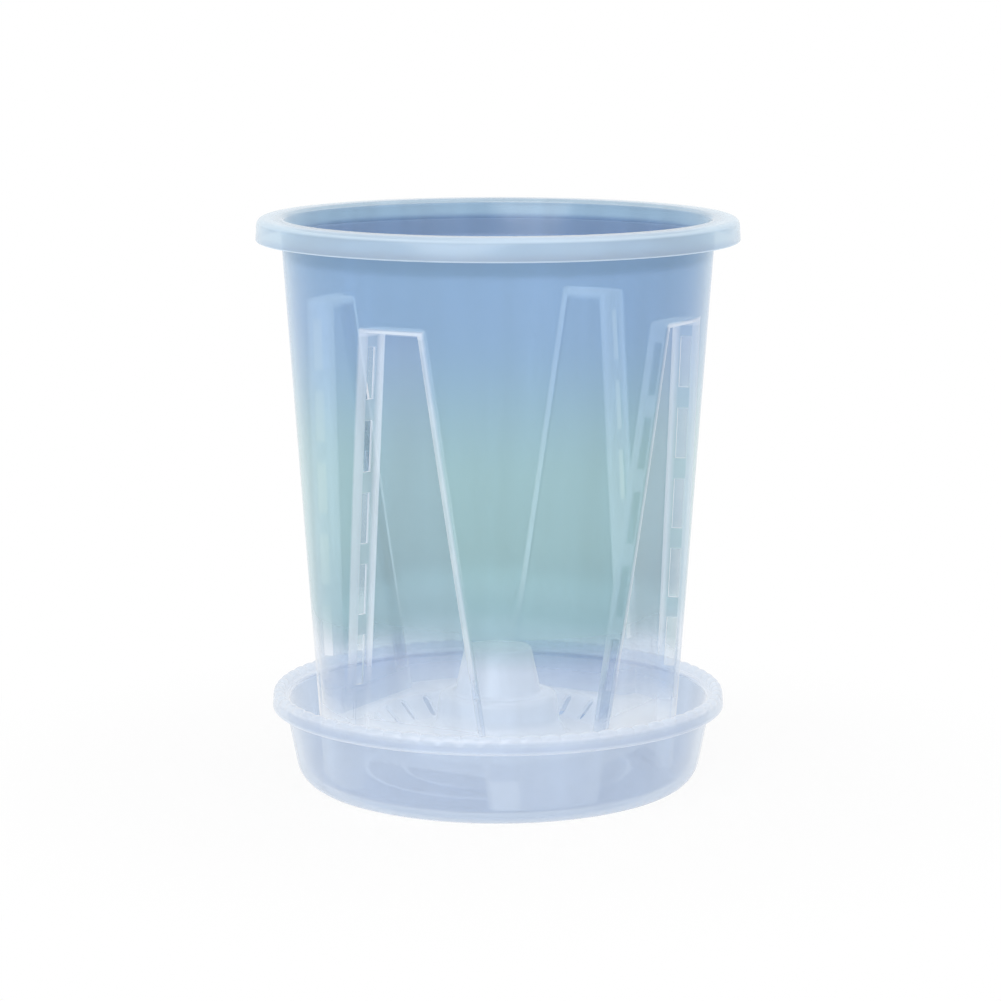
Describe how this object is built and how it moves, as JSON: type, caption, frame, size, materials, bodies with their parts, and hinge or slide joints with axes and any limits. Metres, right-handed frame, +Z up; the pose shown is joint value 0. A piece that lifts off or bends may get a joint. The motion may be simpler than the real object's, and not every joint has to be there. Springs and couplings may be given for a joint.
{
  "type": "clear plant pot",
  "caption": "Clear tapered plant pot with slotted air indents down its wall, a raised cone in its drained floor and a matching drip saucer.",
  "frame": {"origin": "centre of the saucer's underside, where the object stands", "axes": "+Z up along the pot's axis, with the wall's indents on -Y, +X, +Y and -X"},
  "size_m": [0.16, 0.16, 0.1905],
  "materials": {
    "pot_plastic": "clear blue-tinted moulded polypropylene, glossy, faintly milky",
    "saucer_plastic": "clear moulded polypropylene, glossy, milkier than the pot"
  },
  "bodies": {
    "saucer": {"saucer": "saucer_plastic"},
    "pot": {"pot": "pot_plastic"}
  },
  "joints": [
    {"name": "pot_lift", "type": "slide", "parent": "saucer", "child": "pot", "axis": [0, 0, 1], "range_m": [0, 0.06]}
  ]
}
